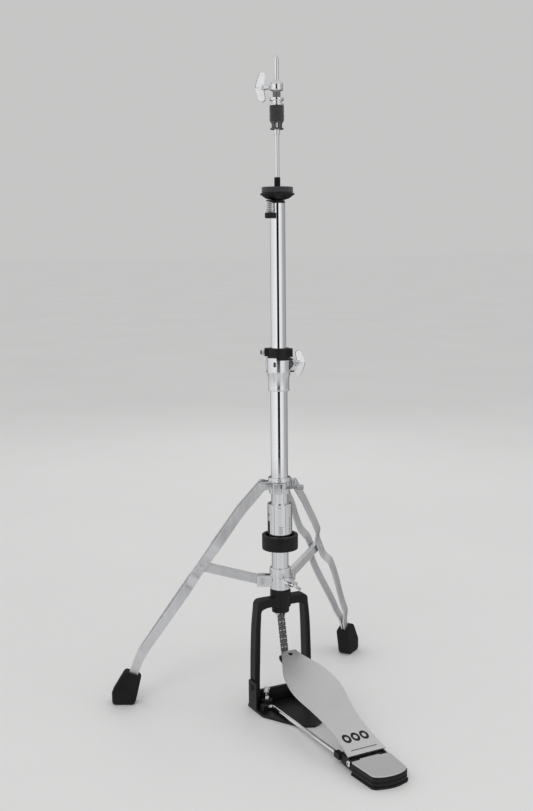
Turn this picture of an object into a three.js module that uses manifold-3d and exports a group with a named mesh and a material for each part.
// Two-legged hi-hat stand: a pull rod in a telescopic tube, worked by a chain and a footboard.
// Millimetres, +Z up. The tubes stand on the Z axis, the floor is z = 0 and the heel points to -Y.
import * as THREE from "three";
import { mergeVertices } from "three/addons/utils/BufferGeometryUtils.js";
import Module from "manifold-3d";

const wasm = await Module();
wasm.setup();

// ---------- driving dimensions ----------
const GAP = 0.3; // clearance between pieces that touch
const SIDES = 24; // facets of a large round
const SMALL_SIDES = 12; // facets of a small round

const ROD_R = 3.2;
const ROD_TOP = 973;
const ROD_FOOT = 163;
const ROD_JOIN = 395; // where the upper and lower pull rods meet inside the coupler
const UPPER_TUBE_R = 11.1;
const LOWER_TUBE_R = 12.7;
const UPPER_WALL = 1.5;
const LOWER_WALL = 1.2;
const UPPER_TUBE_Z = [440, 764];
const LOWER_TUBE_Z = [159, 512];

const PLATE_T = 4; // floor plate
const PLATE_HALF_WIDTH = 52.5;
const PLATE_BACK = 17;
const PLATE_NOSE = -106;
const FLANGE_T = 2.6;
const FLANGE_TOP = 46;
const FRAME_DEPTH = 16;
const ARM_Z = [158, 171];
const BOSS_R = 15.8;
const BOSS_Z = [155, 182.5];
const SPUR_AT = [31, -11];
const SPUR_BOSS_TOP = 15;

const HINGE_Y = -248;
const HINGE_Z = 12.6;
const KNUCKLE_R = 4.2;
const PIN_R = 2.8;
const BOARD_SLOPE = 17.2; // degrees
const BOARD_START = [-247.4, 21.8]; // y and z of the top face at the hinge end
const BOARD_T = 3;
const BOARD_LENGTH = 234;
const TOE_HOLE = 226;
const HEEL_TOP = 17.9;
const HEEL_ARM_X = [25.4, 29.2]; // each arm that holds the hinge pin
const HEEL_HUB_X = [23.6, 32.4]; // the thick end of the arm, round the wire
const ROD_WIRE_R = 3;
const ROD_WIRE_X = 28;
const WIRE_FRONT_Z = 12.5;

const CHAIN_TOP = 146;
const CHAIN_FOOT = [-14.5, 77]; // y and z of the pin at the toe
const CHAIN_LINKS = 6;
const CHAIN_PIN_R = 1.4;
const TOE_HOLE_R = 2.2; // slack round the pin at the toe

const HOUSING_R = 18.7;
const HOUSING_Z = [246, 317];
const RING_R = 27.4;
const RING_Z = [246.5, 269];
const SLOT_Z = [261, 292];
const SLOT_W = 5.2;
const CARRIER_Z = [262.6, 266.6];
const SPRING_SEAT_Z = 340;

const LEG_AZIMUTH = { left: 152, right: 33 }; // degrees from +X, anticlockwise
const LEG_PIVOT = [26.5, 345]; // radius and height
const LEG_KNEE = [60, 306];
const LEG_ANKLE = [217, 79];
const LEG_END = [233, 37];
const BRACE_ON_LEG = [120.2, 219];
const BRACE_ON_COLLAR = [28, 196.5];
const STRAP_W = 14;
const STRAP_T = 3;
const BRACE_W = 8;
const LEG_RIVET_R = 3;
const FOOT_T = 23;
const COLLAR_SCREW_TURN = -22; // degrees that the upper collar's key screw turns from +X
const COLLAR_SCREW_Z = 344.6;
const LEG_SCREW_TURN = -72; // degrees from +X to the wing screw of the lower collar
const LEG_SCREW_AT = [21.6, 195]; // radius and height of its hub
const LEG_SCREW_LEAN = 57; // degrees that its wing leans from upright

const CLAMP_TURN = -28; // degrees: the height clamp and its lock face this way round the tube
const CLAMP_R = 16.9;
const CLAMP_Z = [489, 539];
const HEIGHT_SCREW_AT = [24.5, 18, 528]; // its hub, in the clamp's own turned axes
const LOCK_Z = [539.6, 552.5];
const LOCK_SCREW_Z = 546.4;
const LOCK_KEY_FOOT = 535.4; // the lock's tongue drops this far into the clamp's rim

const TILT_TURN = 205; // degrees from +X to the tilting screw
const TILT_REACH = 18.4;
const TILT_EYE_Z = [766.1, 767.9];
const TILT_KNOB_TOP = 750.4;
const CUP_Z = [764.5, 778.4];
const FELT_TOP = 787;
const CLUTCH_Z = 861;

const radians = THREE.MathUtils.degToRad;

// ---------- materials ----------
function finish(colour, roughness, metalness) {
  return () => new THREE.MeshStandardMaterial({ color: colour, roughness, metalness });
}
const chrome = finish(0xd8dadc, 0.12, 1);
const strapSteel = finish(0xc9cbcd, 0.22, 1);
const brushedSteel = finish(0xb9babb, 0.38, 1);
const blackPaint = finish(0x1b1c1e, 0.45, 0.2);
const blackPlastic = finish(0x161617, 0.5, 0);
const rubber = finish(0x1d1d1e, 0.85, 0);
const felt = finish(0x2c2d2f, 0.95, 0);
const zinc = finish(0x9fa1a3, 0.35, 1);

// ---------- solids ----------
function toSolid(geometry) {
  const bare = geometry.clone();
  bare.deleteAttribute("normal");
  bare.deleteAttribute("uv");
  const merged = mergeVertices(bare, 1e-4);
  const vertProperties = merged.attributes.position.array;
  const triVerts = new Uint32Array(merged.index.array);
  return new wasm.Manifold(new wasm.Mesh({ numProp: 3, vertProperties, triVerts }));
}

function toGeometry(solid) {
  const mesh = solid.getMesh();
  const positions = new THREE.BufferAttribute(new Float32Array(mesh.vertProperties), 3);
  const geometry = new THREE.BufferGeometry().setAttribute("position", positions);
  geometry.setIndex(new THREE.BufferAttribute(new Uint32Array(mesh.triVerts), 1));
  geometry.computeVertexNormals();
  return geometry;
}

function joined(...geometries) {
  return toGeometry(geometries.map(toSolid).reduce((all, next) => all.add(next)));
}

function cut(body, ...tools) {
  return toGeometry(tools.map(toSolid).reduce((left, tool) => left.subtract(tool), toSolid(body)));
}

// A solid of revolution about Z from a closed profile of [radius, z], anticlockwise in that plane.
function turned(profile, sides = SIDES) {
  const points = [...profile, profile[0]].map(([r, z]) => new THREE.Vector2(r, z));
  return new THREE.LatheGeometry(points, sides).rotateX(Math.PI / 2);
}

function ring(outer, inner, bottom, top, sides = SIDES) {
  return turned([[inner, bottom], [outer, bottom], [outer, top], [inner, top]], sides);
}

function disc(radius, bottom, top, sides = SIDES) {
  const height = top - bottom;
  return new THREE.CylinderGeometry(radius, radius, height, sides).rotateX(Math.PI / 2)
    .translate(0, 0, bottom + height / 2);
}

// A round bar along X, from x = from to x = to.
function barX(radius, from, to, y = 0, z = 0, sides = SMALL_SIDES) {
  return disc(radius, from, to, sides).rotateY(Math.PI / 2).translate(0, y, z);
}

// A round bar along Y, from y = from to y = to.
function barY(radius, from, to, x = 0, z = 0, sides = SMALL_SIDES) {
  return disc(radius, -to, -from, sides).rotateX(Math.PI / 2).translate(x, 0, z);
}

function block([x0, x1], [y0, y1], [z0, z1]) {
  return new THREE.BoxGeometry(x1 - x0, y1 - y0, z1 - z0)
    .translate((x0 + x1) / 2, (y0 + y1) / 2, (z0 + z1) / 2);
}

// An outline in X and Y raised from bottom to top, with an optional chamfer on its edges.
function raised(outline, bottom, top, chamfer = 0) {
  const options = {
    depth: top - bottom - 2 * chamfer,
    bevelEnabled: chamfer > 0,
    bevelThickness: chamfer,
    bevelSize: chamfer,
    bevelOffset: -chamfer,
    bevelSegments: chamfer > 2 ? 2 : 1,
    curveSegments: 4,
  };
  return new THREE.ExtrudeGeometry(outline, options).translate(0, 0, bottom + chamfer);
}

// The same with the outline in X and Z, and its thickness along Y about y = 0.
function raisedY(outline, thickness, chamfer = 0) {
  return raised(outline, -thickness / 2, thickness / 2, chamfer).rotateX(Math.PI / 2);
}

function outlineOf(points) {
  return new THREE.Shape(points.map(([x, y]) => new THREE.Vector2(x, y)));
}

// A closed smooth outline that is mirrored in X: the points run up its right-hand side.
function mirrored(side) {
  const left = side.map(([x, y]) => [-x, y]).reverse();
  return outlineOf([...side, ...left]);
}

function smoothSide(points, steps) {
  const curve = new THREE.SplineCurve(points.map(([x, y]) => new THREE.Vector2(x, y)));
  return curve.getPoints(steps).map(({ x, y }) => [x, y]);
}

// A stadium from one centre to another.
function stadium([ax, ay], [bx, by], radius, arcSteps = 5) {
  const heading = Math.atan2(by - ay, bx - ax);
  const points = [];
  for (const [x, y, start] of [[bx, by, heading - Math.PI / 2], [ax, ay, heading + Math.PI / 2]]) {
    for (let i = 0; i <= arcSteps; i++) {
      const angle = start + (Math.PI * i) / arcSteps;
      points.push([x + radius * Math.cos(angle), y + radius * Math.sin(angle)]);
    }
  }
  return outlineOf(points);
}

// A wing screw along +X: shank from x = -reach, hub from x = 0, and two paddles, up and down.
// The hub may taper towards the shank over a further length.
// A paddle's outer edge runs from its round tip out to the point of the wing, x = depth.
function wingScrew({ reach, shankR, hubR, hubLength, span, depth, taper = 0 }) {
  const tipR = span * 0.23;
  const [tipX, tipZ] = [tipR + 0.6, span - tipR];
  const paddle = new THREE.Shape();
  paddle.moveTo(1, -1);
  paddle.quadraticCurveTo(2.4, span * 0.4, tipX - tipR, tipZ);
  paddle.absarc(tipX, tipZ, tipR, Math.PI, Math.PI * 0.12, true);
  paddle.quadraticCurveTo(depth * 0.95, span * 0.42, depth, 1);
  paddle.lineTo(depth, -1);
  const upper = raised(paddle, -1.6, 1.6, 0.6).rotateX(Math.PI / 2);
  const lower = upper.clone().rotateX(Math.PI);
  const hub = turned([[0, -taper], [taper ? shankR + 0.3 : hubR, -taper], [hubR, hubLength / 2],
    [hubR, hubLength], [0, hubLength]], SMALL_SIDES).rotateY(Math.PI / 2);
  return joined(barX(shankR, -reach, 1), hub, upper, lower);
}

function piece(name, geometry, material) {
  const mesh = new THREE.Mesh(geometry, material());
  mesh.name = name;
  return mesh;
}

function groupOf(...pieces) {
  const group = new THREE.Group();
  group.add(...pieces);
  return group;
}

// ---------- base and pedal frame ----------
const SIDE_NAMES = { left: -1, right: 1 };

// Two distances from the middle plane, on one side of it, in rising order.
function span(sign, near, far) {
  return sign > 0 ? [near, far] : [-far, -near];
}

function basePlate() {
  const nose = smoothSide([[44, -52], [31, -76], [16, -97], [0, PLATE_NOSE]], 8).reverse();
  const side = [...nose, [PLATE_HALF_WIDTH, -37], [PLATE_HALF_WIDTH, 10], [45, PLATE_BACK]];
  const solids = [raised(mirrored(side), 0, PLATE_T, 0.8)];
  const bores = [];
  for (const sign of Object.values(SIDE_NAMES)) {
    const flange = stadium([-4.5, 4], [-4.5, FLANGE_TOP - 12.5], 12.5);
    solids.push(raised(flange, -FLANGE_T / 2, FLANGE_T / 2).rotateX(Math.PI / 2).rotateZ(Math.PI / 2)
      .translate(sign * (PLATE_HALF_WIDTH - FLANGE_T / 2), 0, 0));
    solids.push(disc(8.6, 1, SPUR_BOSS_TOP, 20).translate(sign * SPUR_AT[0], SPUR_AT[1], 0));
    solids.push(block([sign * 42 - 5, sign * 42 + 5], [-30, -18], [1, 13]));
    solids.push(barX(4.5, ...span(sign, PLATE_HALF_WIDTH, PLATE_HALF_WIDTH + 1.8), -2, 34));
    bores.push(disc(3.6, -1, 30, SMALL_SIDES).translate(sign * SPUR_AT[0], SPUR_AT[1], 0));
    bores.push(barX(ROD_WIRE_R + GAP, sign * 42 - 6, sign * 42 + 6, -24, 7.6));
  }
  const floorCut = block([-80, 80], [-120, 40], [-20, 0]);
  return piece("base_plate", cut(joined(...solids), floorCut, ...bores), blackPaint);
}

function pedalFrame() {
  const outer = [[49.3, PLATE_T + GAP], [49.3, 50], [46.9, 128], [43.6, 160]];
  const corner = [[42.2, 166], [38, ARM_Z[1] - 1.5], [30, ARM_Z[1]]];
  const innerCorner = [[27, ARM_Z[0]], [32.5, ARM_Z[0] - 1.5], [34.8, ARM_Z[0] - 6]];
  const inner = [[38.6, 125], [40.8, 45], [40.8, PLATE_T + GAP]];
  const rightHalf = [...outer, ...corner];
  const under = [...innerCorner, ...inner];
  const mirror = ([x, z]) => [-x, z];
  const over = [...rightHalf, ...rightHalf.map(mirror).reverse()];
  const outline = outlineOf([...over, ...under.map(mirror).reverse(), ...under]);
  const arch = raisedY(outline, FRAME_DEPTH, 1.6);
  const boss = turned([[6, 147], [13.3, 147], [13.3, BOSS_Z[0]], [BOSS_R, BOSS_Z[0] + 2],
    [BOSS_R, BOSS_Z[1] - 2], [14.6, BOSS_Z[1]], [6, BOSS_Z[1]]]);
  const tubeSocket = disc(LOWER_TUBE_R + GAP, LOWER_TUBE_Z[0] - GAP, 200);
  const rodBore = disc(8.4, 100, 200, 24);
  const relief = [];
  for (const sign of Object.values(SIDE_NAMES)) {
    // a shallow fluted panel down the front and back of each upright
    for (const face of [-1, 1]) {
      const corners = [[41.7, 52], [43.9, 52], [42.6, 150], [40.2, 150]];
      const panel = outlineOf(corners.map(([x, z]) => [sign * x, z]));
      relief.push(raisedY(panel, 3).translate(0, (face * FRAME_DEPTH) / 2, 0));
    }
  }
  return piece("pedal_frame", cut(joined(arch, boss), tubeSocket, rodBore, ...relief), blackPaint);
}

function crossbar() {
  const bar = block([-40.4, 40.4], [2, 8], [PLATE_T + GAP, 25]);
  return piece("crossbar", bar, blackPaint);
}

function spurScrew(side) {
  const outline = [[0, 15.6], [4.3, 15.6], [4.1, 18.4], [3.2, 21], [3.6, 25.6], [5.4, 27.4], [5.4, 32.2],
    [4.2, 33.4], [0, 33.4]];
  const head = turned(outline, 18);
  const shank = turned([[0, 0.4], [2.9, 4], [2.9, 26], [0, 26]], SMALL_SIDES);
  const screw = joined(head, shank).translate(SIDE_NAMES[side] * SPUR_AT[0], SPUR_AT[1], 0);
  return piece(`${side}_spur_screw`, screw, chrome);
}

// ---------- tubes, spring and pull rod ----------
function lowerTube() {
  const tube = ring(LOWER_TUBE_R, LOWER_TUBE_R - LOWER_WALL, ...LOWER_TUBE_Z);
  const slot = block([-20, 20], [-SLOT_W / 2, SLOT_W / 2], SLOT_Z);
  return piece("lower_tube", cut(tube, slot), chrome);
}

function springHousing() {
  const inner = LOWER_TUBE_R + GAP;
  const sleeve = turned([[inner, HOUSING_Z[0]], [HOUSING_R, HOUSING_Z[0]], [HOUSING_R, HOUSING_Z[1] - 1.2],
    [HOUSING_R - 1.2, HOUSING_Z[1]], [inner, HOUSING_Z[1]]]);
  const slot = block([-30, 30], [-SLOT_W / 2, SLOT_W / 2], SLOT_Z);
  return piece("spring_housing", cut(sleeve, slot), chrome);
}

function tensionRing() {
  const thread = HOUSING_R + GAP;
  const recess = HOUSING_R + 3.8;
  const [bottom, top] = RING_Z;
  const recessFloor = CARRIER_Z[0] - GAP;
  const profile = [[thread, bottom], [RING_R - 1, bottom], [RING_R, bottom + 1.4], [RING_R, top - 1.4],
    [RING_R - 1, top], [recess, top], [recess, recessFloor], [thread, recessFloor]];
  return piece("tension_ring", turned(profile), blackPlastic);
}

function springCarrier() {
  const plate = ring(LOWER_TUBE_R - LOWER_WALL - GAP, ROD_R + 1, ...CARRIER_Z, 24);
  const earReach = HOUSING_R + 3.2;
  const ears = block([-earReach, earReach], [-2.3, 2.3], CARRIER_Z);
  const bore = disc(ROD_R + 1, 250, 280, 24);
  return piece("spring_carrier", cut(joined(plate, ears), bore), zinc);
}

class Helix extends THREE.Curve {
  constructor(radius, bottom, top, turns, topRadius = radius) {
    super();
    Object.assign(this, { radius, bottom, top, turns, topRadius });
  }
  getPoint(t, target = new THREE.Vector3()) {
    const angle = 2 * Math.PI * this.turns * t;
    const z = this.bottom + (this.top - this.bottom) * t;
    const radius = this.radius + (this.topRadius - this.radius) * t;
    return target.set(radius * Math.cos(angle), radius * Math.sin(angle), z);
  }
}

function sweep(path, radius, steps, sides) {
  const section = new THREE.Shape().absarc(0, 0, radius, 0, 2 * Math.PI);
  return new THREE.ExtrudeGeometry(section, { extrudePath: path, steps, curveSegments: sides / 2 });
}

function returnSpring() {
  const wireR = 1.1;
  const coil = new Helix(8, CARRIER_Z[1] + wireR + GAP, SPRING_SEAT_Z - wireR - GAP, 8);
  return piece("return_spring", sweep(coil, wireR, 80, 6), zinc);
}

function pullRods() {
  const lower = [[0, ROD_FOOT], [ROD_R, ROD_FOOT], [ROD_R, ROD_JOIN - GAP], [0, ROD_JOIN - GAP]];
  const upper = [[0, ROD_JOIN + GAP], [ROD_R, ROD_JOIN + GAP], [ROD_R, ROD_TOP - 6], [1.4, ROD_TOP],
    [0, ROD_TOP]];
  return [
    piece("lower_pull_rod", turned(lower, 20), zinc),
    piece("upper_pull_rod", turned(upper, 20), chrome),
    piece("rod_coupler", ring(6, ROD_R + GAP, ROD_JOIN - 10, ROD_JOIN + 10, 12), zinc),
    piece("spring_top_seat", ring(10.4, ROD_R + GAP, SPRING_SEAT_Z, SPRING_SEAT_Z + 5, 24), zinc),
  ];
}

function chainConnector() {
  const neck = ring(7, ROD_R + GAP, 151, 168, 24);
  const floor = disc(7, 150, 160, 24);
  const cheeks = block([-7.4, 7.4], [-3.4, 3.4], [141, 152]);
  const window = block([-5.8, 5.8], [-5, 5], [130, 149.5]);
  const pin = barX(CHAIN_PIN_R, -6.5, 6.5, 0, CHAIN_TOP);
  const rodSocket = disc(ROD_R + GAP, ROD_FOOT - GAP, 200, 20);
  const solid = joined(cut(joined(neck, floor, cheeks), window, rodSocket), pin);
  return piece("chain_connector", solid, chrome);
}

// A double roller chain: three columns of plates on shared rollers, hung from the connector's pin.
function driveChain() {
  const drop = CHAIN_TOP - CHAIN_FOOT[1];
  const length = Math.hypot(drop, CHAIN_FOOT[0]);
  const pitch = length / CHAIN_LINKS;
  const solids = [];
  for (let i = 0; i < CHAIN_LINKS; i++) {
    const from = -pitch * i;
    const outset = i % 2 === 0 ? 0 : 0.8;
    for (const column of [-1, 0, 1]) {
      const link = stadium([0, from], [0, from - pitch], 3.1, 5);
      const plate = raised(link, -0.55, 0.55).rotateX(Math.PI / 2).rotateZ(Math.PI / 2);
      solids.push(plate.translate(column * (4 + outset), 0, 0));
    }
    if (i > 0) solids.push(barX(2, -5.1, 5.1, 0, from, 10));
  }
  const topHole = barX(CHAIN_PIN_R + GAP, -8, 8);
  const footHole = barX(TOE_HOLE_R, -8, 8, 0, -length);
  const solid = cut(joined(...solids), topHole, footHole);
  const mesh = piece("drive_chain", solid, zinc);
  mesh.position.z = CHAIN_TOP;
  mesh.rotation.x = Math.atan2(CHAIN_FOOT[0], drop);
  return mesh;
}

// ---------- footboard and heel ----------
// Half width of the footboard against the distance from its hinge end.
const BOARD_SIDE = [[29.9, 0], [27.8, 22], [26.5, 48], [28.5, 78], [33, 105], [38, 128], [39.5, 148],
  [37.5, 167], [32, 188], [20.5, 213], [14.5, 226]];

// The footboard's own frame: X across, Y up the board from its hinge end, Z out of its top face.
function onBoard(...pieces) {
  const group = groupOf(...pieces);
  group.position.set(0, ...BOARD_START);
  group.rotation.x = radians(BOARD_SLOPE);
  return group;
}

function footboard() {
  const side = [...smoothSide(BOARD_SIDE), [12.5, BOARD_LENGTH - 1.2], [10.5, BOARD_LENGTH]];
  const board = raised(mirrored(side), -BOARD_T, 0, 0.7);
  const hole = disc(3.6, -10, 10, 20).translate(0, TOE_HOLE, 0);
  return piece("footboard", cut(board, hole), brushedSteel);
}

function toeBracket() {
  const top = -BOARD_T - GAP;
  const pad = block([-9, 9], [206, 233], [top - 3, top]);
  // The chain's lower pin in the board's frame.
  const slope = radians(BOARD_SLOPE);
  const dy = CHAIN_FOOT[0] - BOARD_START[0];
  const dz = CHAIN_FOOT[1] - BOARD_START[1];
  const pin = [dy * Math.cos(slope) + dz * Math.sin(slope), dz * Math.cos(slope) - dy * Math.sin(slope)];
  const cheek = outlineOf([[pin[0] - 24, top - 1], [pin[0] - 14, pin[1] - 4.5], [pin[0] + 1.5, pin[1] - 4.5],
    [pin[0] + 4.5, pin[1] - 1], [pin[0] + 4, pin[1] + 2.6], [232, top - 1]]);
  const cheeks = [-1, 1].map((sign) =>
    raised(cheek, -1.2, 1.2).rotateX(Math.PI / 2).rotateZ(Math.PI / 2).translate(sign * 7.6, 0, 0));
  const cross = barX(CHAIN_PIN_R, -8.4, 8.4, pin[0], pin[1]);
  const screwHole = disc(2.5, -20, 20, SMALL_SIDES).translate(0, TOE_HOLE, 0);
  return piece("toe_bracket", cut(joined(pad, ...cheeks, cross), screwHole), blackPaint);
}

function toeScrew() {
  const z = -BOARD_T - GAP;
  const profile = [[0, z - 6], [2.2, z - 6], [2.2, z + GAP], [3.2, z + GAP], [3.2, z + 2.2], [0, z + 2.2]];
  return piece("toe_screw", turned(profile, SMALL_SIDES).translate(0, TOE_HOLE, 0), zinc);
}

function footboardHinge() {
  const solids = [];
  for (const sign of Object.values(SIDE_NAMES)) {
    const [near, far] = span(sign, 16.4, HEEL_ARM_X[0] - GAP);
    solids.push(barX(KNUCKLE_R, near, far, HINGE_Y, HINGE_Z, 18));
    const web = outlineOf([[HINGE_Y, HINGE_Z - KNUCKLE_R], [HINGE_Y + 3, HINGE_Z - KNUCKLE_R + 1],
      [HINGE_Y + 26, HINGE_Z + 9.2], [HINGE_Y + 26, HINGE_Z + 13.2], [HINGE_Y + 2, HINGE_Z + KNUCKLE_R]]);
    solids.push(raised(web, ...span(sign, 16.4, 22.6)).rotateX(Math.PI / 2).rotateZ(Math.PI / 2));
  }
  solids.push(block([-20, 20], [HINGE_Y + 12, HINGE_Y + 25], [HINGE_Z + 5.4, HINGE_Z + 8.3]));
  const bore = barX(PIN_R + GAP, -40, 40, HINGE_Y, HINGE_Z);
  return piece("footboard_hinge", cut(joined(...solids), bore), blackPaint);
}

// Half outline of the heel, up its right-hand side, grown all round by the margin.
function heelSide(margin) {
  return [[0, -311 - margin], [12, -309.6 - margin], [22, -306 - margin], [27 + margin, -301.5 - margin],
    [30.4 + margin, -256]];
}

function heelPlate() {
  const side = [...heelSide(0), [29.4, -254.4], [16.2, -253.9], [15.4, -251.3]];
  const plate = raised(mirrored(side), HEEL_TOP - 1.8, HEEL_TOP, 0.5);
  return piece("heel_plate", plate, brushedSteel);
}

function heelBlock() {
  const side = heelSide(0.6);
  const core = raised(mirrored(side), 3.2, HEEL_TOP - 1.8 - GAP, 0.8);
  const knuckle = barX(KNUCKLE_R, -15.8, 15.8, HINGE_Y, HINGE_Z, 18);
  const knuckleWeb = block([-15.8, 15.8], [-258, HINGE_Y], [5, HINGE_Z]);
  const apron = block([-28, 28], [-258, -234], [3.2, 7.6]);
  const solids = [core, knuckle, knuckleWeb, apron];
  const arm = outlineOf([[-260, 4.5], [-214, 8.5], [-212, 11], [-212, 17], [-215, 19], [-240, 18.6],
    [-251, 17.4], [-253.8, 15.6], [-260, 15.6]]);
  for (const sign of Object.values(SIDE_NAMES)) {
    solids.push(raised(arm, ...span(sign, ...HEEL_ARM_X)).rotateX(Math.PI / 2).rotateZ(Math.PI / 2));
    solids.push(block(span(sign, ...HEEL_HUB_X), [-226, -212], [8, 17]));
  }
  const groove = cut(raised(mirrored(heelSide(3)), 8.6, 10), raised(mirrored(heelSide(-1)), 7, 12));
  const hinge = barX(PIN_R + GAP, -40, 40, HINGE_Y, HINGE_Z);
  const wire = radiusRodGeometry(ROD_WIRE_R + GAP);
  const slots = block([-40, 40], [-254, -226.3], [7.8, 30]);
  const keepKnuckle = block([-15.9, 15.9], [-260, -220], [0, 31]);
  const keepArms = Object.values(SIDE_NAMES).map((sign) =>
    block(span(sign, HEEL_ARM_X[0], 50), [-260, -220], [0, 31]));
  const clearance = cut(slots, keepKnuckle, ...keepArms);
  return piece("heel_block", cut(joined(...solids), groove, hinge, wire, clearance), blackPlastic);
}

function heelSole() {
  return piece("heel_sole", raised(mirrored(heelSide(1.6)), 0, 2.9, 0.6), rubber);
}

function hingePin() {
  const reach = HEEL_ARM_X[1] + GAP;
  const pin = barX(PIN_R, -reach - 1, reach + 1, HINGE_Y, HINGE_Z);
  const heads = Object.values(SIDE_NAMES).map((sign) =>
    barX(4.2, ...span(sign, reach, reach + 2), HINGE_Y, HINGE_Z));
  return piece("hinge_pin", joined(pin, ...heads), chrome);
}

// One wire, hooked into the base lugs at both ends and bent round under the front of the heel arms.
function radiusRodGeometry(radius) {
  const path = new THREE.CurvePath();
  const v = (x, y, z) => new THREE.Vector3(x, y, z);
  const bend = 7;
  const frontY = -219;
  const line = (a, b) => path.add(new THREE.LineCurve3(a, b));
  const turn = (a, corner, b) => path.add(new THREE.QuadraticBezierCurve3(a, corner, b));
  for (const sign of [-1, 1]) {
    const hookEnd = v(sign * 46, -24, 7.6);
    const hookStart = v(sign * (ROD_WIRE_X + bend), -24, 7.6);
    const hookCorner = v(sign * ROD_WIRE_X, -24, 7.6);
    const legTop = v(sign * ROD_WIRE_X, -24 - bend, 7.8);
    const legEnd = v(sign * ROD_WIRE_X, frontY + bend, WIRE_FRONT_Z - 0.2);
    const frontCorner = v(sign * ROD_WIRE_X, frontY, WIRE_FRONT_Z);
    const frontStart = v(sign * (ROD_WIRE_X - bend), frontY, WIRE_FRONT_Z);
    if (sign < 0) {
      line(hookEnd, hookStart);
      turn(hookStart, hookCorner, legTop);
      line(legTop, legEnd);
      turn(legEnd, frontCorner, frontStart);
      line(frontStart, v(ROD_WIRE_X - bend, frontY, WIRE_FRONT_Z));
    } else {
      turn(frontStart, frontCorner, legEnd);
      line(legEnd, legTop);
      turn(legTop, hookCorner, hookStart);
      line(hookStart, hookEnd);
    }
  }
  return sweep(path, radius, 48, 8);
}

// ---------- height clamp and memory lock ----------
function tubeClamp() {
  const profile = [[LOWER_TUBE_R + GAP, CLAMP_Z[0]], [CLAMP_R - 1.6, CLAMP_Z[0]], [CLAMP_R, CLAMP_Z[0] + 2.4],
    [CLAMP_R, 507], [CLAMP_R - 0.8, 511], [CLAMP_R + 0.4, 518], [CLAMP_R + 0.4, CLAMP_Z[1] - 1],
    [CLAMP_R - 0.6, CLAMP_Z[1]], [UPPER_TUBE_R + 1.4, CLAMP_Z[1]], [UPPER_TUBE_R + 1.4, LOWER_TUBE_Z[1] + 1],
    [LOWER_TUBE_R + GAP, LOWER_TUBE_Z[1] + 1]];
  const sleeve = turned(profile);
  // Two lugs at the back, drawn together across the split by the wing screw.
  const lugShape = stadium([0, 528], [0, 524], 9.5);
  const lug = raised(lugShape, -19, 24).rotateX(Math.PI / 2).rotateZ(Math.PI / 2).translate(0, 15.5, 0);
  const ear = raised(stadium([16.5, 530], [10, 522], 7.5), -9, 9).rotateX(Math.PI / 2);
  const split = block([-1, 1], [10, 40], [480, 545]);
  const screwHole = barX(3 + GAP, -30, 30, ...HEIGHT_SCREW_AT.slice(1));
  const windowShape = stadium([-5.9, 527.2], [-5.9, 531], 1.9);
  const window = raised(windowShape, 0, 30).rotateX(Math.PI / 2);
  const keyNotch = block([-3 - GAP, 30], [-30, GAP], [LOCK_KEY_FOOT - GAP, 545]);
  const bore = disc(UPPER_TUBE_R + 1.4, 510, 545);
  const hollow = disc(LOWER_TUBE_R + GAP, 480, LOWER_TUBE_Z[1] + 1);
  const solid = joined(sleeve, lug, ear);
  return piece("tube_clamp", cut(solid, split, screwHole, window, keyNotch, bore, hollow), chrome);
}

function clampBushing() {
  const bushing = ring(UPPER_TUBE_R + 1.1, UPPER_TUBE_R + GAP, LOWER_TUBE_Z[1] + 1.3, CLAMP_Z[1]);
  return piece("clamp_bushing", bushing, blackPlastic);
}

function heightWingScrew() {
  const screw = wingScrew({ reach: 44.5, shankR: 3, hubR: 4.6, hubLength: 8, span: 19, depth: 15 });
  const mesh = piece("height_wing_screw", screw, chrome);
  mesh.position.set(...HEIGHT_SCREW_AT);
  return mesh;
}

function memoryLock() {
  const band = ring(CLAMP_R - 0.4, UPPER_TUBE_R + GAP, ...LOCK_Z);
  const step = block([2, 21], [-9, 9], [LOCK_Z[0], LOCK_Z[1] - 1]);
  const lug = block([-21, -8], [-6, 6], [LOCK_Z[0] + 1, LOCK_Z[1]]);
  const bore = disc(UPPER_TUBE_R + GAP, 500, 600);
  const screwHole = barX(2.4 + GAP, -40, -5, 0, LOCK_SCREW_Z);
  const key = cut(ring(CLAMP_R - 0.4, UPPER_TUBE_R + 1.4, LOCK_KEY_FOOT, LOCK_Z[0] + 1),
    block([-30, -3], [-30, 30], [500, 600]), block([-30, 30], [0, 30], [500, 600]));
  return piece("memory_lock", cut(joined(band, step, lug, key), bore, screwHole), blackPlastic);
}

// The lock's screw has a round head whose outer half is milled to a flat key.
function memoryLockScrew() {
  const collar = barX(3.9, -24.4, -21.4, 0, LOCK_SCREW_Z);
  const key = block([-28, -24], [-2.2, 2.2], [LOCK_SCREW_Z - 3.2, LOCK_SCREW_Z + 3.2]);
  const shank = barX(2.4, -22, -UPPER_TUBE_R - 0.6, 0, LOCK_SCREW_Z);
  return piece("memory_lock_screw", joined(key, collar, shank), chrome);
}

// ---------- cymbal seat ----------
function rodGuide() {
  const inner = UPPER_TUBE_R - UPPER_WALL - GAP;
  const brim = UPPER_TUBE_Z[1] + GAP;
  const profile = [[4.8, 744], [inner, 744], [inner, brim], [UPPER_TUBE_R, brim], [UPPER_TUBE_R, brim + 1.5],
    [4.8, brim + 1.5]];
  return piece("rod_guide", turned(profile, 20), blackPlastic);
}

function rodSleeve() {
  const profile = [[ROD_R + 0.5, 767], [4.4, 767], [4.4, 799.6], [4, 801], [ROD_R + 0.5, 801]];
  return piece("rod_sleeve", turned(profile, 20), rubber);
}

function seatCup() {
  const bottom = TILT_EYE_Z[1] + 0.6;
  const profile = [[7.4, bottom], [10.6, bottom], [17, 770.6], [21.4, 773.4], [25.2, 776.4],
    [25.2, 778], [24.2, CUP_Z[1]], [7.4, CUP_Z[1]]];
  return piece("seat_cup", turned(profile), blackPlastic);
}

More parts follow.
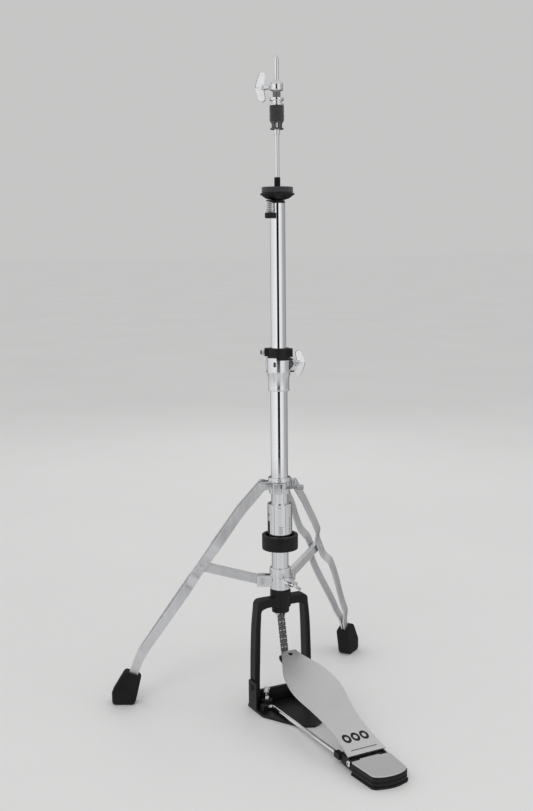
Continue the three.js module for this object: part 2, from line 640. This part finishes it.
function seatFelt() {
  const bottom = CUP_Z[1] + GAP;
  const profile = [[7.4, bottom], [22.4, bottom], [22.9, bottom + 1.4], [22.9, FELT_TOP - 1.6],
    [22, FELT_TOP], [7.4, FELT_TOP]];
  return piece("seat_felt", turned(profile), felt);
}

// The bracket is a flat ring under the cup whose arm carries the screw that lifts one side of it.
function tiltBracket() {
  const band = disc(UPPER_TUBE_R - 0.4, ...TILT_EYE_Z);
  const arm = block([6, TILT_REACH], [-4.4, 4.4], TILT_EYE_Z);
  const eye = disc(5.2, ...TILT_EYE_Z, 20).translate(TILT_REACH, 0, 0);
  const screwHole = disc(2.6, 740, 770, SMALL_SIDES).translate(TILT_REACH, 0, 0);
  const bore = disc(7.4, 740, 770);
  const mesh = piece("tilt_bracket", cut(joined(band, arm, eye), screwHole, bore), blackPlastic);
  mesh.rotation.z = radians(TILT_TURN);
  return mesh;
}

function onTiltAxis(mesh) {
  const angle = radians(TILT_TURN);
  mesh.position.set(TILT_REACH * Math.cos(angle), TILT_REACH * Math.sin(angle), 0);
  return mesh;
}

function tiltKnob() {
  const shank = disc(2.2, 745, 769.4, SMALL_SIDES);
  const knob = turned([[0, 742], [6.4, 742], [7.1, 743], [7.1, TILT_KNOB_TOP - 1], [6.4, TILT_KNOB_TOP],
    [0, TILT_KNOB_TOP]], 20);
  return onTiltAxis(piece("tilt_knob", joined(shank, knob), blackPlastic));
}

// A conical spring round the screw, between the knob and the bracket's eye.
function tiltSpring() {
  const wireR = 0.7;
  const coil = new Helix(4.8, TILT_KNOB_TOP + wireR + GAP, TILT_EYE_Z[0] - wireR - GAP, 5, 3.3);
  return onTiltAxis(piece("tilt_spring", sweep(coil, wireR, 66, 6), zinc));
}

// ---------- clutch ----------
function clutch() {
  const bore = ROD_R + GAP;
  const body = turned([[bore, CLUTCH_Z], [4.2, CLUTCH_Z], [4.2, 913], [5.7, 913], [5.7, 922.4], [9.3, 923.2],
    [9.3, 931.4], [5.4, 938], [bore, 938]], 20);
  const tappedLug = barX(4.6, -10.4, -3, 0, 927.6);
  const clear = disc(bore, 800, 960, 20);
  const screwHole = barX(2.4 + GAP, -20, 0, 0, 927.6);
  const around = 4.2 + GAP;
  // The nut over the felts is a spool with a flange at each end.
  const nut = [[around, 902], [10.2, 902], [10.2, 904.3], [7.8, 904.9], [7.8, 908.4], [10.4, 909],
    [10.4, 912.6], [around, 912.6]];
  const feltRing = (z0, z1) =>
    turned([[around, z0], [10, z0], [10.6, z0 + 1.2], [10.6, z1 - 1.2], [10, z1], [around, z1]], 20);
  const bottomNut = [[around, 868.3], [9.8, 868.3], [9.8, 870], [8.6, 870.6], [8.6, 877.4], [9.4, 878],
    [9.4, 879.7], [around, 879.7]];
  return [
    piece("clutch_body", cut(joined(body, tappedLug), clear, screwHole), chrome),
    piece("clutch_top_nut", turned(nut, 20), chrome),
    piece("clutch_upper_felt", feltRing(891.3, 901.7), felt),
    piece("clutch_lower_felt", feltRing(880, 891), felt),
    piece("clutch_bottom_nut", turned(bottomNut, 20), zinc),
  ];
}

function clutchWingScrew() {
  const size = { reach: 12, shankR: 2.4, hubR: 4.4, hubLength: 7, span: 20.5, depth: 15, taper: 4.8 };
  const screw = wingScrew(size);
  const mesh = piece("clutch_wing_screw", screw.rotateZ(Math.PI), chrome);
  mesh.position.set(-15.6, 0, 927.6);
  return mesh;
}

// ---------- legs ----------
// Each leg is drawn in its own plane: X outward from the tube, Y across, Z up.
// Half the distance between the two bars of a leg, against the distance along them from the pivot.
const BAR_SPREAD = [[0, 11], [50, 13], [104, 16], [114, 16], [138, 8.2], [172, 8.2], [190, 17], [200, 17],
  [318, 9], [350, 2.2], [400, 2.2]];
const BRACE_AT = 157; // the brace's place along the leg

function legPath() {
  const points = [LEG_PIVOT, LEG_KNEE, LEG_ANKLE, LEG_END].map(([r, z]) => new THREE.Vector2(r, z));
  const path = new THREE.CurvePath();
  const corner = (i, reach) => {
    const before = points[i].clone().lerp(points[i - 1], reach / points[i].distanceTo(points[i - 1]));
    const after = points[i].clone().lerp(points[i + 1], reach / points[i].distanceTo(points[i + 1]));
    return [before, after];
  };
  const [kneeIn, kneeOut] = corner(1, 12);
  const [ankleIn, ankleOut] = corner(2, 14);
  path.add(new THREE.LineCurve(points[0], kneeIn));
  path.add(new THREE.QuadraticBezierCurve(kneeIn, points[1], kneeOut));
  path.add(new THREE.LineCurve(kneeOut, ankleIn));
  path.add(new THREE.QuadraticBezierCurve(ankleIn, points[2], ankleOut));
  path.add(new THREE.LineCurve(ankleOut, points[3]));
  return path;
}

function spreadAt(distance) {
  const next = Math.max(1, BAR_SPREAD.findIndex(([d]) => d >= distance));
  const [[d0, t0], [d1, t1]] = [BAR_SPREAD[next - 1], BAR_SPREAD[next]];
  const ease = (distance - d0) / (d1 - d0);
  return t0 + (t1 - t0) * ease * ease * (3 - 2 * ease);
}

// A closed strap lofted through stations of four corners each.
function loft(stations) {
  const positions = stations.flat(2);
  const index = [];
  for (let i = 0; i + 1 < stations.length; i++) {
    for (let k = 0; k < 4; k++) {
      const [a, b] = [4 * i + k, 4 * i + ((k + 1) % 4)];
      index.push(a, b + 4, b, a, a + 4, b + 4);
    }
  }
  const last = 4 * (stations.length - 1);
  index.push(0, 1, 2, 0, 2, 3, last, last + 2, last + 1, last, last + 3, last + 2);
  const geometry = new THREE.BufferGeometry();
  geometry.setAttribute("position", new THREE.Float32BufferAttribute(positions, 3));
  return geometry.setIndex(index);
}

function legBar(name, sign) {
  const path = legPath();
  const length = path.getLength();
  const half = STRAP_W / 2;
  const endRound = [-half, -half * 0.85, -half * 0.5, 0];
  const along = [...endRound];
  for (let d = 10; d < length; d += d < 210 ? 8 : 25) along.push(d);
  along.push(length);
  const stations = along.map((d) => {
    const t = Math.max(0, d) / length;
    const at = path.getPointAt(t);
    const heading = path.getTangentAt(t);
    const over = Math.min(0, d);
    const width = Math.max(1.2, Math.sqrt(half * half - over * over));
    const spread = sign * spreadAt(Math.max(0, d));
    const centre = [at.x + heading.x * over, at.y + heading.y * over];
    const corner = (edge, face) => [centre[0] - heading.y * edge * width, spread + (face * STRAP_T) / 2,
      centre[1] + heading.x * edge * width];
    return [corner(-1, -1), corner(1, -1), corner(1, 1), corner(-1, 1)];
  });
  const strap = loft(stations);
  const outside = sign * (spreadAt(0) + STRAP_T / 2);
  const joint = sign * (spreadAt(BRACE_AT) + STRAP_T / 2);
  const pivotHole = barY(LEG_RIVET_R + 0.1, -30, 30, ...LEG_PIVOT);
  const rivetHead = sign > 0
    ? barY(4.4, joint - 1, joint + 2, ...BRACE_ON_LEG, 14)
    : barY(4.4, joint - 2, joint + 1, ...BRACE_ON_LEG, 14);
  return { mesh: piece(name, joined(cut(strap, pivotHole), rivetHead), strapSteel), outside };
}

function pivotRivet(name, outside) {
  const reach = outside + 0.3;
  const shank = barY(LEG_RIVET_R - 0.2, -reach - 1, reach + 1, ...LEG_PIVOT);
  const heads = [-1, 1].map((sign) => {
    return barY(4.8, ...span(sign, reach, reach + 2.4), ...LEG_PIVOT);
  });
  return piece(name, joined(shank, ...heads), strapSteel);
}

function rubberFoot(name) {
  const shape = new THREE.Shape();
  shape.moveTo(232, 0);
  shape.lineTo(254, 0);
  shape.quadraticCurveTo(262, 0, 262.3, 9);
  shape.lineTo(262.2, 18);
  shape.quadraticCurveTo(262, 23, 259, 28);
  shape.lineTo(245.6, 48);
  shape.quadraticCurveTo(241.6, 53.6, 235.6, 51.4);
  shape.lineTo(222.6, 46.4);
  shape.quadraticCurveTo(216.6, 43.4, 218, 37.6);
  shape.lineTo(225.6, 7);
  shape.quadraticCurveTo(227.2, 0, 232, 0);
  const body = raisedY(shape, FOOT_T, 2.6);
  const heading = Math.atan2(LEG_END[1] - LEG_ANKLE[1], LEG_END[0] - LEG_ANKLE[0]);
  const half = STRAP_W / 2 + GAP;
  const pocket = block([-2, 60], [-5.4, 5.4], [-half, half]).rotateY(-heading)
    .translate(LEG_END[0], 0, LEG_END[1]);
  const upward = pocket.clone().translate(-Math.cos(heading) * 58, 0, -Math.sin(heading) * 58);
  return piece(name, cut(body, upward), rubber);
}

function brace(name) {
  const web = raisedY(stadium(BRACE_ON_COLLAR, BRACE_ON_LEG, STRAP_W / 2), BRACE_W, 0.8);
  const slope = Math.atan2(BRACE_ON_LEG[1] - BRACE_ON_COLLAR[1], BRACE_ON_LEG[0] - BRACE_ON_COLLAR[0]);
  const channel = block([-20, 130], [-2.6, 2.6], [-20, STRAP_W / 2 - 1.6]).rotateY(-slope)
    .translate(BRACE_ON_COLLAR[0], 0, BRACE_ON_COLLAR[1]);
  const hole = barY(LEG_RIVET_R + GAP, -10, 10, ...BRACE_ON_COLLAR);
  return piece(name, cut(web, channel, hole), strapSteel);
}

function braceRivet(name) {
  const shank = barY(LEG_RIVET_R - 0.2, -9, 9, ...BRACE_ON_COLLAR);
  const heads = [[-9.4, -7.4], [7.4, 9.4]].map(([from, to]) => barY(4.6, from, to, ...BRACE_ON_COLLAR));
  return piece(name, joined(shank, ...heads), strapSteel);
}

function onLeg(side, ...pieces) {
  const group = groupOf(...pieces);
  group.rotation.z = radians(LEG_AZIMUTH[side]);
  return group;
}

function leg(side) {
  const front = legBar(`${side}_leg_front_bar`, side === "left" ? 1 : -1);
  const rear = legBar(`${side}_leg_rear_bar`, side === "left" ? -1 : 1);
  const rivet = pivotRivet(`${side}_leg_pivot`, Math.abs(front.outside));
  return onLeg(side, front.mesh, rear.mesh, rivet, rubberFoot(`${side}_foot`), brace(`${side}_brace`),
    braceRivet(`${side}_brace_pivot`));
}

function upperLegCollar() {
  const [z0, z1] = [332.5, 357.5];
  const bore = LOWER_TUBE_R + GAP;
  const band = turned([[bore, z0], [15.6, z0], [15.6, z1 - 7], [17.2, z1 - 6.4], [17.2, z1], [bore, z1]]);
  const [low, high] = [LEG_PIVOT[1] - 6.2, LEG_PIVOT[1] + 6.2];
  const outline = outlineOf([[10, low], [27, low], [32, low + 3], [33, LEG_PIVOT[1]], [32, high - 3],
    [27, high], [10, high]]);
  const lug = cut(raisedY(outline, 18.4, 0.8), barY(LEG_RIVET_R + GAP, -20, 20, ...LEG_PIVOT));
  const lugs = Object.values(LEG_AZIMUTH).map((azimuth) => lug.clone().rotateZ(radians(azimuth)));
  // Clamp ears at the front, closed by one long key screw.
  const ears = block([-12, 7], [-21.8, -8], [z0 + 3, z1 - 6.8]).rotateZ(radians(COLLAR_SCREW_TURN));
  const split = block([-0.8, 0.8], [-30, -8], [z0 - 5, z1 + 5]).rotateZ(radians(COLLAR_SCREW_TURN));
  const screwHole = barX(2.4, -9, 20, -18.2, COLLAR_SCREW_Z).rotateZ(radians(COLLAR_SCREW_TURN));
  const tubeBore = disc(bore, 300, 400);
  return piece("upper_leg_collar", cut(joined(band, ...lugs, ears), split, screwHole, tubeBore), chrome);
}

function upperCollarBolt() {
  const shank = barX(2.1, -8.6, 26, -18.2, COLLAR_SCREW_Z);
  const cap = barX(3.6, 24, 34, -18.2, COLLAR_SCREW_Z);
  const screw = joined(shank, cap).rotateZ(radians(COLLAR_SCREW_TURN));
  return piece("upper_collar_bolt", screw, zinc);
}

function lowerLegCollar() {
  const [z0, z1] = [184, 217];
  const bore = LOWER_TUBE_R + GAP;
  const band = turned([[bore, z0], [15.4, z0], [15.4, 202.6], [16.2, 203.4], [16.2, z1 - 1.4], [15.4, z1],
    [bore, z1]]);
  const outline = outlineOf([[10, 187.6], [34, 187.6], [35.6, 189.2], [35.6, 203.6], [34, 205.2],
    [10, 205.2]]);
  const plate = cut(raisedY(outline, 2.8), barY(LEG_RIVET_R, -20, 20, ...BRACE_ON_COLLAR));
  const clevises = Object.values(LEG_AZIMUTH).flatMap((azimuth) =>
    [-5.9, 5.9].map((y) => plate.clone().translate(0, y, 0).rotateZ(radians(azimuth))));
  const boss = barX(6.4, 9, 21, 0, 195, 18).rotateZ(radians(LEG_SCREW_TURN));
  const split = block([-25, -8], [-0.8, 0.8], [z0 - 3, 202.6]).rotateZ(radians(LEG_SCREW_TURN + 34));
  const screwHole = barX(3 + GAP, 5, 30, 0, 195).rotateZ(radians(LEG_SCREW_TURN));
  const tubeBore = disc(bore, 150, 250);
  return piece("lower_leg_collar", cut(joined(band, ...clevises, boss), split, screwHole, tubeBore), chrome);
}

function legWingScrew() {
  const screw = wingScrew({ reach: 7, shankR: 3, hubR: 4.6, hubLength: 8, span: 19, depth: 13 });
  const mesh = piece("leg_wing_screw", screw, chrome);
  mesh.position.set(LEG_SCREW_AT[0], 0, LEG_SCREW_AT[1]);
  mesh.rotation.x = radians(LEG_SCREW_LEAN);
  const group = groupOf(mesh);
  group.rotation.z = radians(LEG_SCREW_TURN);
  return group;
}

// ---------- assembly ----------
const clampGroup = groupOf(tubeClamp(), clampBushing(), heightWingScrew(), memoryLock(), memoryLockScrew());
clampGroup.rotation.z = radians(CLAMP_TURN);

const clutchGroup = groupOf(...clutch(), clutchWingScrew());
clutchGroup.rotation.z = radians(CLAMP_TURN);

const stand = groupOf(
  basePlate(),
  pedalFrame(),
  crossbar(),
  spurScrew("left"),
  spurScrew("right"),
  lowerTube(),
  springHousing(),
  tensionRing(),
  springCarrier(),
  returnSpring(),
  ...pullRods(),
  chainConnector(),
  driveChain(),
  onBoard(footboard(), toeBracket(), toeScrew()),
  footboardHinge(),
  heelPlate(),
  heelBlock(),
  heelSole(),
  hingePin(),
  piece("radius_rod", radiusRodGeometry(ROD_WIRE_R), chrome),
  clampGroup,
  piece("upper_tube", ring(UPPER_TUBE_R, UPPER_TUBE_R - UPPER_WALL, ...UPPER_TUBE_Z), chrome),
  rodGuide(),
  rodSleeve(),
  seatCup(),
  seatFelt(),
  tiltBracket(),
  tiltKnob(),
  tiltSpring(),
  clutchGroup,
  leg("left"),
  leg("right"),
  upperLegCollar(),
  upperCollarBolt(),
  lowerLegCollar(),
  legWingScrew(),
);

export default stand;
